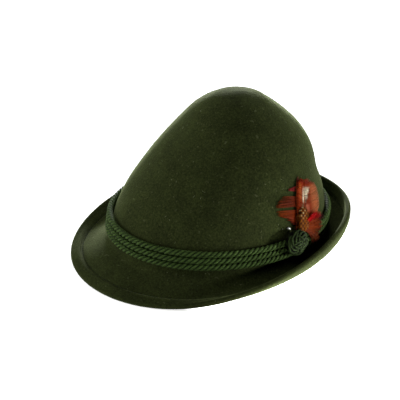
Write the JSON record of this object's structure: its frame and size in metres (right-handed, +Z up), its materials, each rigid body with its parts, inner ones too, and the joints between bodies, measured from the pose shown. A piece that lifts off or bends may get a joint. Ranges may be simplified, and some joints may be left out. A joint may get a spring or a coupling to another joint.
{
  "type": "tyrolean hat",
  "caption": "Alpine felt hat with a tapering crown, a brim turned up behind, twisted cords knotted at the side and a small feather plume.",
  "frame": {"origin": "middle of the bounding box at floor level, with the hat resting on its brim", "axes": "+Z up, -Y the way the wearer faces, +X the wearer's left with the knot and the plume"},
  "size_m": [0.2182, 0.2682, 0.1332],
  "materials": {
    "felt": "dark olive wool felt, matt with a fine pale fuzz",
    "cord": "dark green twisted cord with a slight sheen",
    "knot_cord": "dark green cord",
    "rust_feather": "rust-red feather",
    "mixed_feathers": "glossy red, cream and brown feathers",
    "pin_metal": "bright, slightly worn"
  },
  "bodies": {
    "root": {"felt_body": "felt", "cord_1": "cord", "cord_2": "cord", "cord_3": "cord", "cord_knot": "knot_cord", "plume_back": "rust_feather", "plume_front": "mixed_feathers", "plume_pin": "pin_metal"}
  },
  "joints": []
}
